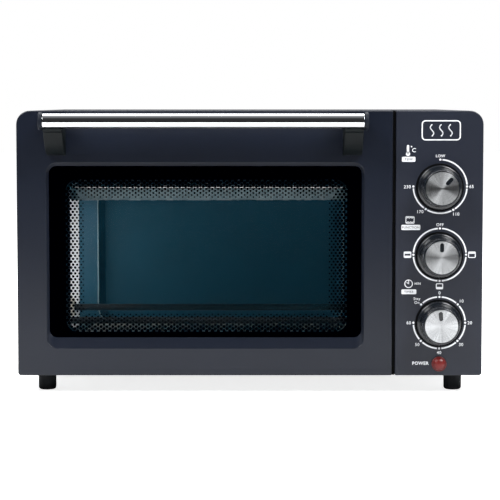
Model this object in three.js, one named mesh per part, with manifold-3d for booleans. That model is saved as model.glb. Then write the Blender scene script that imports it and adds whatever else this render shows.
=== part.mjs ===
// Countertop toaster oven: a sheet-steel body with a drop-down glass door on the left, a control
// panel with three knobs and a pilot lamp on the right, and a rack, pan and heaters inside.
// Millimetres. +X is to the right and +Z is up; the front faces -Y. The origin is under the middle
// of the whole object, on the surface that it stands on. Every piece is written in "oven
// coordinates", whose y is the depth behind the front face of the door, and one group moves them
// all to the part's frame.
import * as THREE from "three";
import { mergeVertices } from "three/addons/utils/BufferGeometryUtils.js";
import Module from "manifold-3d";

const wasm = await Module();
wasm.setup();

// ---------- driving dimensions ----------
const GAP = 0.3; // between pieces that touch
const SHEET = 1; // sheet steel of the body
const EPS = 1; // how far a cutting tool runs past the face that it cuts

const BODY_WIDTH = 405;
const BODY_BOTTOM = 12.5;
const BODY_TOP = 243.5;
const BODY_DEPTH = 272; // from the door's front face to the back of the cover
const BULGE_OUT = 18; // how far the drawn back panel stands out behind the cover
const CORNER = 12; // top corners of the body
const SMALL_CORNER = 2.6; // all the other outside corners
const LEFT = -BODY_WIDTH / 2;
const RIGHT = BODY_WIDTH / 2;

const DOOR_RIGHT = 124;
const DOOR_THICK = 14;
const DOOR_SHEET = 1.5;
const WINDOW = { x0: -176, x1: 99, z0: 36, z1: 197, radius: 7 }; // edge of the pressed recess
const WINDOW_STEP = { side: 1.8, top: 2, bottom: 9.5, deep: 3 }; // slope of the recess
const LINER_OPENING = { x0: -157.5, x1: 87, z0: 49.5, z1: 183, radius: 10 };
const GLASS_THICK = 4;

const HINGE_Y = 11.5;
const HINGE_Z = 17.5;
const HINGE_XS = [-194.8, 117.4]; // middle of each hinge plate
const PIN_RADIUS = 2;
const FRAME_Y = 17.9; // front face of the sheet that carries the cavity and the controls

const HANDLE_Y = -29;
const HANDLE_Z = 234.8;
const HANDLE_RADIUS = 6.5;
const HANDLE_X0 = -176;
const HANDLE_X1 = 97.2;
const HANDLE_CAP = { radius: 7.75, thick: 3.2 };
const BRACKET_WIDTH = 16.3;
const BRACKET_XS = [-167.6, 88.7];
const HANDLE_REACH = HANDLE_CAP.radius - HANDLE_Y;

const PANEL_LEFT = 126.6;
const PANEL_WALL = 2;
const DIAL_X = 164.8;
const DIALS = { temperature: 177, function: 117.6, timer: 58.4 }; // heights of the three knobs
const KNOB_REST = { temperature: 45, function: 0, timer: -4 }; // degrees clockwise from the top
const KNOB_FRONT = -21;
const SHAFT_RADIUS = 3;
const LAMP_X = 165;
const LAMP_Z = 22.8;

const CAVITY = { x0: -176, x1: 112, z1: 214, y0: 19.4, y1: 269.5 };
const RAIL_LEVELS = [173.3];
const RAIL_OUT = 5;
const ELEMENT_RADIUS = 3.25;
const ELEMENTS = {
  lower_front: { y: 85, z: 50 },
  lower_rear: { y: 185, z: 50 },
  upper_front: { y: 85, z: 198 },
  upper_rear: { y: 185, z: 198 },
};
const BUSH_RADIUS = 6.2;

const PAN = { x0: -163, x1: 99, y0: 30, y1: 246, z0: 163.9, z1: 174.6 };
const PAN_SLOPE = 2.5;
const PAN_RIM = { side: 11.8, end: 3 }; // the sides of the rim slide on the rails
const RACK_INSET = 6; // from the pan's outer wall to the wire rack that lies in it
const RACK = { frame: 2.2, wire: 1.2, wires: 17 };
const TRAY_LEDGES = [-168, 98]; // left edges of the two ribs under the crumb tray
const INLET = { x: 165, z: 42, radius: 6.5, bore: 3.8 };
const BULGE = { x0: -156.5, x1: 96, z0: 21, z1: 196, radius: 20, draft: 4.5 };
const FOOT = { x: 180, y: [27, 238], top: 8, bottom: 8 };
const LIFT = 3.5; // the feet raise the whole oven by this much

const TOTAL_DEPTH = HANDLE_REACH + BODY_DEPTH + BULGE_OUT;
const FRONT = HANDLE_REACH - TOTAL_DEPTH / 2; // y of the door's front face in the part's frame

// ---------- materials ----------
function material(color, roughness, metalness) {
  return new THREE.MeshStandardMaterial({ color, roughness, metalness });
}
const PAINT = material(0x33383f, 0.5, 0.3);
const BLACK = material(0x16181a, 0.45, 0);
const CHROME = material(0xdde2e6, 0.08, 1);
const BRUSHED = material(0xb9bcbd, 0.35, 1);
const ZINC = material(0xa9adae, 0.45, 0.9);
const ENAMEL = material(0x33474c, 0.4, 0.2);
const GLASS = material(0x14242a, 0.05, 0);
const HEATER = material(0x4a4b4a, 0.6, 0.6);
const CERAMIC = material(0xe6e1d5, 0.6, 0);
const LENS = material(0xc3201c, 0.15, 0);
const RUBBER = material(0x1c1c1d, 0.85, 0);

// ---------- solids ----------
// A three.js geometry as a closed solid whose faces point out.
function solid(geometry) {
  const bare = new THREE.BufferGeometry();
  bare.setAttribute("position", geometry.getAttribute("position"));
  bare.setIndex(geometry.index);
  const merged = mergeVertices(bare, 1e-4);
  const corners = merged.index.array;
  const at = merged.attributes.position;
  const kept = [];
  let volume = 0;
  for (let i = 0; i < corners.length; i += 3) {
    const [a, b, c] = corners.subarray(i, i + 3);
    if (a === b || b === c || c === a) continue;
    kept.push(a, b, c);
    const [p, q, r] = [a, b, c].map((n) => new THREE.Vector3().fromBufferAttribute(at, n));
    volume += p.dot(q.cross(r));
  }
  if (volume < 0) kept.reverse();
  const mesh = { numProp: 3, vertProperties: at.array, triVerts: new Uint32Array(kept) };
  return new wasm.Manifold(new wasm.Mesh(mesh));
}

// A solid as a named mesh.
function piece(name, body, look) {
  const { vertProperties, triVerts } = body.getMesh();
  const geometry = new THREE.BufferGeometry();
  geometry.setAttribute("position", new THREE.BufferAttribute(vertProperties, 3));
  geometry.setIndex(new THREE.BufferAttribute(triVerts, 1));
  geometry.computeVertexNormals();
  const mesh = new THREE.Mesh(geometry, look.clone());
  mesh.name = name;
  return mesh;
}

function box(x0, x1, y0, y1, z0, z1) {
  const geometry = new THREE.BoxGeometry(x1 - x0, y1 - y0, z1 - z0);
  geometry.translate((x0 + x1) / 2, (y0 + y1) / 2, (z0 + z1) / 2);
  return solid(geometry);
}

// A rectangle in x and z; radii is one number, or those of the corners from bottom left round.
function outline(x0, x1, z0, z1, radii) {
  const [bl, br, tr, tl] = Array.isArray(radii) ? radii : [radii, radii, radii, radii];
  const quarter = Math.PI / 2;
  const shape = new THREE.Shape();
  shape.moveTo(x0 + bl, z0);
  shape.lineTo(x1 - br, z0);
  if (br) shape.absarc(x1 - br, z0 + br, br, -quarter, 0, false);
  shape.lineTo(x1, z1 - tr);
  if (tr) shape.absarc(x1 - tr, z1 - tr, tr, 0, quarter, false);
  shape.lineTo(x0 + tl, z1);
  if (tl) shape.absarc(x0 + tl, z1 - tl, tl, quarter, 2 * quarter, false);
  shape.lineTo(x0, z0 + bl);
  if (bl) shape.absarc(x0 + bl, z0 + bl, bl, 2 * quarter, 3 * quarter, false);
  return shape;
}

// The named rectangle grown by some millimetres on every side.
function grown({ x0, x1, z0, z1, radius }, by) {
  return outline(x0 - by, x1 + by, z0 - by, z1 + by, Math.max(radius + by, 0.5));
}

function polygon(points) {
  return new THREE.Shape(points.map(([a, b]) => new THREE.Vector2(a, b)));
}

// A shape in x and z, thickened from one depth to another.
function slab(shape, front, back, curveSegments = 5) {
  const options = { depth: back - front, bevelEnabled: false, curveSegments };
  const geometry = new THREE.ExtrudeGeometry(shape, options);
  geometry.rotateX(Math.PI / 2);
  geometry.translate(0, back, 0);
  return solid(geometry);
}

// A shape in y and z, thickened from one x to another.
function profile(shape, x0, x1) {
  const options = { depth: x1 - x0, bevelEnabled: false, curveSegments: 6 };
  const geometry = new THREE.ExtrudeGeometry(shape, options);
  const [x, y, z] = [[1, 0, 0], [0, 1, 0], [0, 0, 1]].map((axis) => new THREE.Vector3(...axis));
  geometry.applyMatrix4(new THREE.Matrix4().makeBasis(y, z, x));
  geometry.translate(x0, 0, 0);
  return solid(geometry);
}

// A convex solid between two outlines with the same number of points, at two depths.
function taper(frontShape, front, backShape, back) {
  const rings = [frontShape, backShape].map((shape) => shape.extractPoints(5).shape);
  const count = rings[0].length;
  const positions = [];
  rings.forEach((ring, k) => ring.forEach((p) => positions.push(p.x, k ? back : front, p.y)));
  const index = [];
  for (let i = 0; i < count; i++) {
    const j = (i + 1) % count;
    index.push(i, j, count + j, i, count + j, count + i);
    if (i > 1) index.push(0, i, i - 1, count, count + i - 1, count + i);
  }
  const geometry = new THREE.BufferGeometry();
  geometry.setAttribute("position", new THREE.Float32BufferAttribute(positions, 3));
  geometry.setIndex(index);
  return solid(geometry);
}

const TURN = {
  x: (geometry) => geometry.rotateZ(-Math.PI / 2),
  y: (geometry) => geometry,
  z: (geometry) => geometry.rotateX(Math.PI / 2),
};

// A round solid: a profile of [radius, distance along the axis] turned about x, y or z.
function turned(axis, points, segments = 24) {
  const curve = points.map(([r, along]) => new THREE.Vector2(r, along));
  return solid(TURN[axis](new THREE.LatheGeometry(curve, segments)));
}

// A plain cylinder along an axis, whose ends are at two distances from the given point.
function rod(axis, radius, from, to, at = [0, 0, 0], segments = 16) {
  const geometry = new THREE.CylinderGeometry(radius, radius, to - from, segments);
  geometry.translate(0, (from + to) / 2, 0);
  return solid(TURN[axis](geometry).translate(...at));
}

function joined(solids) {
  return solids.reduce((sum, next) => sum.add(next));
}

function cut(body, tools) {
  return tools.reduce((rest, tool) => rest.subtract(tool), body);
}

// ---------- body ----------
function bodyOutline(inset) {
  const small = Math.max(SMALL_CORNER - inset, 0);
  const radii = [small, small, CORNER - inset, CORNER - inset];
  return outline(LEFT + inset, RIGHT - inset, BODY_BOTTOM + inset, BODY_TOP - inset, radii);
}

function ventSlots() {
  const slots = [];
  for (let i = 0; i < 9; i++) {
    const z = 66 + 14 * i;
    slots.push(box(LEFT - EPS, LEFT + 2 * SHEET, 188, 236, z, z + 3.4));
    slots.push(box(RIGHT - 2 * SHEET, RIGHT + EPS, 188, 236, z, z + 3.4));
  }
  for (let i = 0; i < 6; i++) {
    const y = 190 + 9 * i;
    slots.push(box(136, 184, y, y + 3.4, BODY_TOP - 2 * SHEET, BODY_TOP + EPS));
  }
  return slots;
}

function outerCover() {
  const front = FRAME_Y - GAP;
  const outside = slab(bodyOutline(0), front, BODY_DEPTH, 8);
  const inside = slab(bodyOutline(SHEET), front - EPS, BODY_DEPTH + EPS, 8);
  const base = box(LEFT + SHEET, RIGHT - SHEET, front - EPS, BODY_DEPTH + EPS, 0, 20);
  return piece("outer_cover", cut(outside, [inside, base, ...ventSlots()]), PAINT);
}

function basePlate() {
  const x = RIGHT - SHEET - GAP;
  const back = CAVITY.y1;
  const trough = box(-x, x, FRAME_Y, back, BODY_BOTTOM, BODY_BOTTOM + 11);
  const top = BODY_BOTTOM + SHEET;
  const hollow = box(-x + SHEET, x - SHEET, FRAME_Y - EPS, back + EPS, top, 40);
  const doorSweep = box(-x - EPS, DOOR_RIGHT + 4, 0, FRAME_Y + 1.6, 0, 40);
  const ledges = TRAY_LEDGES.map((left) => box(left, left + 8, 24, back, top - 0.1, 20.2));
  return piece("base_plate", joined([cut(trough, [hollow, doorSweep]), ...ledges]), ZINC);
}

function rearPanel() {
  const x = RIGHT - SHEET - GAP;
  const top = BODY_TOP - SHEET - GAP;
  const corner = CORNER - SHEET - GAP;
  const front = CAVITY.y1 + GAP;
  const back = BODY_DEPTH - SHEET;
  const sheet = slab(outline(-x, x, BODY_BOTTOM + 1.8, top, [0, 0, corner, corner]), front, back);
  const peak = BODY_DEPTH + BULGE_OUT;
  const outer = taper(grown(BULGE, 0), front, grown(BULGE, -BULGE.draft), peak);
  const hollowEnd = grown(BULGE, -BULGE.draft - SHEET);
  const inner = taper(grown(BULGE, -SHEET), front - 0.01, hollowEnd, peak - SHEET);
  const slots = [];
  for (let i = 0; i < 7; i++) {
    slots.push(box(134, 190, front - EPS, back + EPS, 150 + 9 * i, 153.4 + 9 * i));
  }
  const inlet = rod("y", INLET.radius + GAP, front - EPS, back + EPS, [INLET.x, 0, INLET.z]);
  return piece("rear_panel", cut(sheet.add(outer), [inner, inlet, ...slots]), ZINC);
}

function cordInlet() {
  const { radius, bore } = INLET;
  const inside = CAVITY.y1 - 4;
  const outside = BODY_DEPTH + 5;
  const faces = [CAVITY.y1 - 0.2, BODY_DEPTH - SHEET + GAP];
  const body = turned("y", [
    [bore, inside],
    [radius + 2, inside],
    [radius + 2, faces[0]],
    [radius, faces[0]],
    [radius, faces[1]],
    [radius + 3, faces[1]],
    [radius + 1.5, outside],
    [bore, outside],
    [bore, inside],
  ], 16);
  const mesh = piece("cord_inlet", body, BLACK);
  mesh.position.set(INLET.x, 0, INLET.z);
  return mesh;
}

function frontFrame() {
  const x = RIGHT - SHEET - GAP;
  const top = BODY_TOP - SHEET - GAP;
  const corner = CORNER - SHEET - GAP;
  const back = FRAME_Y + 1.2;
  const sheet = slab(outline(-x, x, BODY_BOTTOM + 11.3, top, [0, 0, corner, corner]), FRAME_Y, back);
  const { x0, x1 } = CAVITY;
  const mouth = slab(outline(x0, x1, 0, 208, [0, 0, 8, 8]), FRAME_Y - EPS, back + EPS);
  const holes = Object.values(DIALS).map((z) =>
    rod("y", SHAFT_RADIUS + 1.5, FRAME_Y - EPS, back + EPS, [DIAL_X, 0, z]));
  const lamp = rod("y", 6, FRAME_Y - EPS, back + EPS, [LAMP_X, 0, LAMP_Z + 6]);
  return piece("front_frame", cut(sheet, [mouth, lamp, ...holes]), ZINC);
}

function foot(name, x, y) {
  const { top, bottom } = FOOT;
  const height = LIFT + BODY_BOTTOM - GAP;
  const body = turned("z", [[0, 0], [bottom - 1.2, 0], [bottom, 1.4], [top, height], [0, height]], 18);
  const mesh = piece(name, body, RUBBER);
  mesh.position.set(x, y, -LIFT);
  return mesh;
}

function feet() {
  const [front, rear] = FOOT.y;
  return [
    foot("foot_front_left", -FOOT.x, front),
    foot("foot_front_right", FOOT.x, front),
    foot("foot_rear_left", -FOOT.x, rear),
    foot("foot_rear_right", FOOT.x, rear),
  ];
}

// ---------- cavity ----------
// A side wall bent from sheet, with three pressed rails; side is -1 on the left and 1 on the right.
function cavityWall(name, side) {
  const face = side < 0 ? CAVITY.x0 : CAVITY.x1;
  const inner = [[face, BODY_BOTTOM + SHEET + GAP]];
  const outer = [[face + side * SHEET, BODY_BOTTOM + SHEET + GAP]];
  for (const z of RAIL_LEVELS) {
    const out = face - side * RAIL_OUT;
    inner.push([face, z - 8], [out, z - 3], [out, z], [face, z]);
    const behind = out + side * SHEET;
    const back = face + side * SHEET;
    outer.push([back, z - 7.6], [behind, z - 2.6], [behind, z - SHEET], [back, z - SHEET]);
  }
  inner.push([face, CAVITY.z1]);
  outer.push([face + side * SHEET, CAVITY.z1]);
  const sheet = slab(polygon([...inner, ...outer.reverse()]), CAVITY.y0, CAVITY.y1);
  const holes = Object.values(ELEMENTS).map(({ y, z }) =>
    rod("x", BUSH_RADIUS + GAP, face - 3, face + 3, [0, y, z], 12));
  return piece(name, cut(sheet, holes), ZINC);
}

function cavityCeiling() {
  const z = CAVITY.z1 + GAP;
  const left = CAVITY.x0 - SHEET;
  const right = CAVITY.x1 + SHEET;
  const { y0, y1 } = CAVITY;
  const top = box(left, right, y0, y1, z, z + SHEET);
  const lips = [y0, y1 - SHEET].map((y) =>
    box(CAVITY.x0 + GAP, CAVITY.x1 - GAP, y, y + SHEET, 206, z + 0.5));
  return piece("cavity_ceiling", joined([top, ...lips]), ZINC);
}

// A sheathed heating element, with a thinner terminal stud at each end.
function heater(place) {
  const end = 13;
  const x0 = CAVITY.x0 - end;
  const x1 = CAVITY.x1 + end;
  const stud = 1.5;
  const body = turned("x", [
    [0, x0 - 6],
    [stud, x0 - 6],
    [stud, x0],
    [ELEMENT_RADIUS, x0],
    [ELEMENT_RADIUS, x1],
    [stud, x1],
    [stud, x1 + 6],
    [0, x1 + 6],
  ], 12);
  const mesh = piece("heater_" + place, body, HEATER);
  mesh.position.set(0, ELEMENTS[place].y, ELEMENTS[place].z);
  return mesh;
}

// A ceramic bush that carries one end of an element through a side wall.
function heaterBush(place, side) {
  const bore = ELEMENT_RADIUS + GAP;
  const flange = GAP;
  const body = turned("x", [
    [bore, -4],
    [BUSH_RADIUS + 3, -4],
    [BUSH_RADIUS + 3, -flange],
    [BUSH_RADIUS, -flange],
    [BUSH_RADIUS, 8],
    [bore, 8],
    [bore, -4],
  ], 12);
  const mesh = piece("bush_" + place + (side < 0 ? "_left" : "_right"), body, CERAMIC);
  mesh.position.set(side < 0 ? CAVITY.x0 : CAVITY.x1, ELEMENTS[place].y, ELEMENTS[place].z);
  if (side < 0) mesh.rotation.z = Math.PI;
  return mesh;
}

// The rack lies in the pan, on its floor.
function wireRack() {
  const { frame, wire, wires } = RACK;
  const x0 = PAN.x0 + RACK_INSET;
  const x1 = PAN.x1 - RACK_INSET;
  const y0 = PAN.y0 + RACK_INSET;
  const y1 = PAN.y1 - RACK_INSET;
  const z = PAN.z0 + SHEET + GAP + frame;
  const along = (radius, x, from, to, height) => rod("y", radius, from, to, [x, 0, height], 6);
  const across = (radius, y, from, to, height) => rod("x", radius, from, to, [0, y, height], 8);
  const parts = [
    across(frame, y0 + frame, x0 + frame, x1 - frame, z),
    across(frame, y1 - frame, x0 + frame, x1 - frame, z),
    across(frame * 0.8, (y0 + y1) / 2, x0 + frame, x1 - frame, z - 0.4),
    along(frame, x0 + frame, y0 + 0.2, y1 - 0.2, z),
    along(frame, x1 - frame, y0 + 0.2, y1 - 0.2, z),
  ];
  for (let i = 1; i <= wires; i++) {
    const x = x0 + frame + ((x1 - x0 - 2 * frame) * i) / (wires + 1);
    parts.push(along(wire, x, y0 + frame, y1 - frame, z + frame - wire - 0.4));
  }
  return piece("wire_rack", joined(parts), CHROME);
}

// A shallow tray with sloping sides and a flat rim. It is made lying on its side, then turned up.
function trayBody(tray, slope, rim) {
  const flat = ({ x0, x1, y0, y1 }, by, wide = by) =>
    outline(x0 - wide, x1 + wide, y0 - by, y1 + by, 10 + by);
  const { z0, z1 } = tray;
  const edge = flat(tray, rim.end, rim.side);
  const lipped = taper(edge, -z1, edge, -z1 + SHEET);
  const outer = taper(flat(tray, 0), -z1, flat(tray, -slope), -z0);
  const inner = taper(flat(tray, -SHEET), -z1 - 0.01, flat(tray, -slope - SHEET), -z0 - SHEET);
  const mesh = lipped.add(outer).subtract(inner).getMesh();
  const geometry = new THREE.BufferGeometry();
  geometry.setAttribute("position", new THREE.BufferAttribute(mesh.vertProperties, 3));
  geometry.setIndex(new THREE.BufferAttribute(mesh.triVerts, 1));
  return solid(geometry.rotateX(-Math.PI / 2));
}

function bakingPan() {
  return piece("baking_pan", trayBody(PAN, PAN_SLOPE, PAN_RIM), ENAMEL);
}

function crumbTray() {
  const tray = { x0: -168, x1: 104, y0: 25, y1: 262, z0: 20.5, z1: 26.5 };
  return piece("crumb_tray", trayBody(tray, 1.5, { side: 1.5, end: 1.5 }), ZINC);
}

// ---------- door ----------
function windowShape(by) {
  const { side, top, bottom } = WINDOW_STEP;
  const { x0, x1, z0, z1, radius } = WINDOW;
  return outline(x0 + side - by, x1 - side + by, z0 + bottom - by, z1 - top + by, radius - 2 + by);
}

function doorFrame() {
  const shape = (by) => {
    const small = Math.max(SMALL_CORNER - by, 0.8);
    const radii = [small, small, small, CORNER - by];
    return outline(LEFT + by, DOOR_RIGHT - by, BODY_BOTTOM + by, BODY_TOP - by, radii);
  };
  const shell = cut(slab(shape(0), 0, DOOR_THICK, 8), [
    slab(shape(DOOR_SHEET), DOOR_SHEET, DOOR_THICK + EPS, 8),
  ]);
  const { deep } = WINDOW_STEP;
  const lip = taper(grown(WINDOW, 1.6), 1, windowShape(1.6), deep);
  const slope = taper(grown(WINDOW, 0.03), -0.02, windowShape(0), deep + 0.01);
  const mouths = HINGE_XS.map((x) => box(x - 2.2, x + 2.2, 5, DOOR_THICK + EPS, 0, 20));
  const bore = rod("x", PIN_RADIUS + GAP, LEFT - EPS, LEFT + 3, [0, HINGE_Y, HINGE_Z]);
  const bores = [bore, bore.translate([DOOR_RIGHT - LEFT - 2, 0, 0])];
  return piece("door_frame", cut(shell.add(lip), [slope, ...bores, ...mouths]), PAINT);
}

function doorGlass() {
  const { x0, x1, z0, z1 } = WINDOW;
  const front = WINDOW_STEP.deep + GAP;
  const body = slab(outline(x0 - 3, x1 + 3, z0 - 1, z1 + 3, 5), front, front + GLASS_THICK);
  return piece("door_glass", body, GLASS);
}

function doorLiner() {
  const edge = DOOR_SHEET + 0.5;
  const top = BODY_TOP - edge;
  const corners = [2, 2, 2, CORNER - edge];
  const back = DOOR_THICK - 0.3;
  const front = back - 1.2;
  const sheet = slab(outline(LEFT + edge, DOOR_RIGHT - edge, 27, top, corners), front, back);
  const glassBack = WINDOW_STEP.deep + 2 * GAP + GLASS_THICK;
  const ring = slab(grown(LINER_OPENING, 1.2), glassBack, front + 0.5);
  const opening = slab(grown(LINER_OPENING, 0), glassBack - EPS, back + EPS);
  return piece("door_liner", cut(sheet.add(ring), [opening]), PAINT);
}

function handleBar() {
  const r = HANDLE_RADIUS;
  const body = turned("x", [[0, HANDLE_X0], [r, HANDLE_X0], [r, HANDLE_X1], [0, HANDLE_X1]], 32);
  const mesh = piece("handle_bar", body, CHROME);
  mesh.position.set(0, HANDLE_Y, HANDLE_Z);
  return mesh;
}

function handleCap(name, side) {
  const { radius, thick } = HANDLE_CAP;
  const body = turned("x", [[0, 0], [radius, 0], [radius, thick - 0.9], [radius - 0.9, thick],
    [0, thick]], 32);
  const mesh = piece(name, body, BLACK);
  mesh.position.set(side < 0 ? HANDLE_X0 - GAP : HANDLE_X1 + GAP, HANDLE_Y, HANDLE_Z);
  if (side < 0) mesh.rotation.z = Math.PI;
  return mesh;
}

// The arm stands on the door and cradles the bar from behind and below.
function handleBracket(name, x) {
  const face = -GAP;
  const foot = 204.7;
  const top = 241;
  const arm = new THREE.Shape();
  arm.moveTo(face, foot);
  arm.lineTo(-5, foot + 0.6);
  arm.quadraticCurveTo(-19, 210, HANDLE_Y + 1, HANDLE_Z - HANDLE_RADIUS - 3.2);
  arm.lineTo(HANDLE_Y - 4, HANDLE_Z - HANDLE_RADIUS - 1);
  arm.lineTo(HANDLE_Y, HANDLE_Z);
  arm.lineTo(HANDLE_Y + 7.5, top);
  arm.lineTo(face, top);
  const half = BRACKET_WIDTH / 2;
  const cradle = rod("x", HANDLE_RADIUS + GAP, -half - EPS, half + EPS, [0, HANDLE_Y, HANDLE_Z], 32);
  const mesh = piece(name, profile(arm, -half, half).subtract(cradle), BLACK);
  mesh.position.x = x;
  return mesh;
}

function hingePin(name, side) {
  const [left, right] = HINGE_XS;
  const range = side < 0 ? [LEFT + GAP, left + 5] : [right - 5, DOOR_RIGHT - GAP];
  const mesh = piece(name, rod("x", PIN_RADIUS, ...range), ZINC);
  mesh.position.set(0, HINGE_Y, HINGE_Z);
  return mesh;
}

// A plate on the body that reaches into the door and carries the pin.
function hingePlate(name, x) {
  const eye = 4.2;
  const plate = new THREE.Shape();
  plate.moveTo(40, HINGE_Z - 3);
  plate.lineTo(40, HINGE_Z + 6);
  plate.lineTo(HINGE_Y + 7, HINGE_Z + 4.2);
  plate.lineTo(HINGE_Y, HINGE_Z + eye);
  plate.absarc(HINGE_Y, HINGE_Z, eye, Math.PI / 2, 1.5 * Math.PI - 0.78, false);
  plate.lineTo(HINGE_Y, HINGE_Z - 3);
  const bore = rod("x", PIN_RADIUS + GAP, -5, 5, [0, HINGE_Y, HINGE_Z]);
  const mesh = piece(name, profile(plate, -1.2, 1.2).subtract(bore), ZINC);
  mesh.position.x = x;
  return mesh;
}

class Coil extends THREE.Curve {
  constructor(radius, turns, length) {
    super();
    Object.assign(this, { radius, turns, length });
  }
  getPoint(t, target = new THREE.Vector3()) {
    const angle = 2 * Math.PI * this.turns * t;
    const [x, z] = [Math.cos(angle), Math.sin(angle)];
    return target.set(x * this.radius, t * this.length, z * this.radius);
  }
}

// The spring that pulls the door shut, behind its hinge plate.
function doorSpring(name, x) {
  const wire = new THREE.Shape();
  wire.absarc(0, 0, 0.9, 0, 2 * Math.PI, false);
  const path = new Coil(3.4, 7, 34);
  const options = { steps: 56, extrudePath: path, bevelEnabled: false, curveSegments: 2 };
  const mesh = piece(name, solid(new THREE.ExtrudeGeometry(wire, options)), ZINC);
  mesh.position.set(x, 46, 30);
  return mesh;
}

// ---------- controls ----------
function controlPanel() {
  const shape = (by) => {
    const small = Math.max(SMALL_CORNER - by, 0.8);
    const radii = [small, small, CORNER - by, small];
    return outline(PANEL_LEFT + by, RIGHT - by, BODY_BOTTOM + by, BODY_TOP - by, radii);
  };
  const back = FRAME_Y - GAP;
  const shell = cut(slab(shape(0), 0, back, 8), [
    slab(shape(PANEL_WALL), PANEL_WALL, back + EPS, 8),
  ]);
  const holes = Object.values(DIALS).map((z) =>
    rod("y", SHAFT_RADIUS + 1.2, -EPS, PANEL_WALL + EPS, [DIAL_X, 0, z]));
  const lamp = rod("y", 5.3, -EPS, PANEL_WALL + EPS, [LAMP_X, 0, LAMP_Z]);
  return piece("control_panel", cut(shell, [lamp, ...holes]), PAINT);
}

function knobBody(name) {
  return piece(name, turned("y", [
    [0, -13],
    [SHAFT_RADIUS + GAP, -13],
    [SHAFT_RADIUS + GAP, -1],
    [18.8, -1],
    [18.8, -3.4],
    [17.9, -4.6],
    [16.6, -12],
    [15.6, KNOB_FRONT + 0.8],
    [15, KNOB_FRONT],
    [14.5, KNOB_FRONT],
    [14.5, KNOB_FRONT + 1.4],
    [0, KNOB_FRONT + 1.4],
  ], 24), BLACK);
}

function knobCap(name) {
  const disc = rod("y", 14.2, KNOB_FRONT, KNOB_FRONT + 1.1, [0, 0, 0], 24);
  const slot = slab(outline(-1.05, 1.05, 5.4, 12.8, 1), KNOB_FRONT - EPS, KNOB_FRONT + 3);
  return piece(name, disc.subtract(slot), BRUSHED);
}

function shaft(name) {
  return piece(name, rod("y", SHAFT_RADIUS, -12.7, 31, [0, 0, 0], 12), ZINC);
}

// A knob with its cap and shaft, turned clockwise to where its pointer rests.
function knob(which) {
  const group = new THREE.Group();
  group.position.set(DIAL_X, 0, DIALS[which]);
  group.rotation.y = THREE.MathUtils.degToRad(KNOB_REST[which]);
  group.add(knobBody(which + "_knob"), knobCap(which + "_knob_cap"), shaft(which + "_shaft"));
  return group;
}

// The switch body behind one knob: a case that the shaft runs into.
function controlCase(name, which, width, height, depth, look) {
  const back = FRAME_Y + 1.2 + GAP;
  const z = DIALS[which];
  const [w, h] = [width / 2, height / 2];
  const body = slab(outline(DIAL_X - w, DIAL_X + w, z - h, z + h, 3), back, back + depth, 3);
  const bore = rod("y", SHAFT_RADIUS + GAP, 0, 31 + GAP, [DIAL_X, 0, z], 12);
  return piece(name, body.subtract(bore), look);
}

function timerBell() {
  const body = turned("y", [[0, 0], [3, 0], [3, 5], [17, 5], [17, 6], [15, 10], [9, 13], [0, 14]], 18);
  const mesh = piece("timer_bell", body, BRUSHED);
  mesh.position.set(DIAL_X, 58.4, DIALS.timer);
  return mesh;
}

function pilotLens() {
  const body = turned("y", [[0, 14], [3.6, 14], [3.6, 3], [4.9, 3], [4.9, -GAP], [6.6, -GAP],
    [6.6, -1.8], [5.6, -3.4], [3.2, -4.6], [0, -5]], 18);
  const mesh = piece("pilot_lens", body, LENS);
  mesh.position.set(LAMP_X, 0, LAMP_Z);
  return mesh;
}

function pilotLamp() {
  const mesh = piece("pilot_lamp", turned("y", [[0, 14.4], [3.2, 14.4], [3.2, 32], [1.6, 38],
    [0, 38]], 12), GLASS);
  mesh.position.set(LAMP_X, 0, LAMP_Z + 3);
  return mesh;
}

function terminalBlock() {
  const body = box(142, 188, 215, 233, 13.8, 30);
  const wells = [148, 159, 170, 181].map((x) => box(x - 3, x + 3, 219, 229, 24, 31));
  return piece("terminal_block", cut(body, wells), CERAMIC);
}

// ---------- assembly ----------
function doorPieces() {
  const [leftBracket, rightBracket] = BRACKET_XS;
  return [
    doorFrame(),
    doorGlass(),
    doorLiner(),
    handleBar(),
    handleCap("handle_cap_left", -1),
    handleCap("handle_cap_right", 1),
    handleBracket("handle_bracket_left", leftBracket),
    handleBracket("handle_bracket_right", rightBracket),
    hingePin("hinge_pin_left", -1),
    hingePin("hinge_pin_right", 1),
  ];
}

function bodyPieces() {
  const [leftHinge, rightHinge] = HINGE_XS;
  return [
    outerCover(),
    basePlate(),
    rearPanel(),
    frontFrame(),
    cordInlet(),
    ...feet(),
    hingePlate("hinge_plate_left", leftHinge),
    hingePlate("hinge_plate_right", rightHinge),
    doorSpring("door_spring_left", leftHinge),
    doorSpring("door_spring_right", rightHinge + 4),
  ];
}

function cavityPieces() {
  const heaters = Object.keys(ELEMENTS).flatMap((place) => [
    heater(place),
    heaterBush(place, -1),
    heaterBush(place, 1),
  ]);
  return [
    cavityWall("cavity_wall_left", -1),
    cavityWall("cavity_wall_right", 1),
    cavityCeiling(),
    ...heaters,
    wireRack(),
    bakingPan(),
    crumbTray(),
  ];
}

function controlPieces() {
  return [
    controlPanel(),
    ...Object.keys(DIALS).map(knob),
    controlCase("thermostat", "temperature", 34, 40, 24, CERAMIC),
    controlCase("function_switch", "function", 40, 36, 30, BLACK),
    controlCase("timer", "timer", 48, 48, 36, ZINC),
    timerBell(),
    pilotLens(),
    pilotLamp(),
    terminalBlock(),
  ];
}

const oven = new THREE.Group();
oven.position.set(0, FRONT, LIFT);
oven.add(...bodyPieces(), ...cavityPieces(), ...doorPieces(), ...controlPieces());

const part = new THREE.Group();
part.add(oven);

export default part;
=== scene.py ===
import math
import random

import bmesh
import bpy
from mathutils import Matrix, Vector

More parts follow.
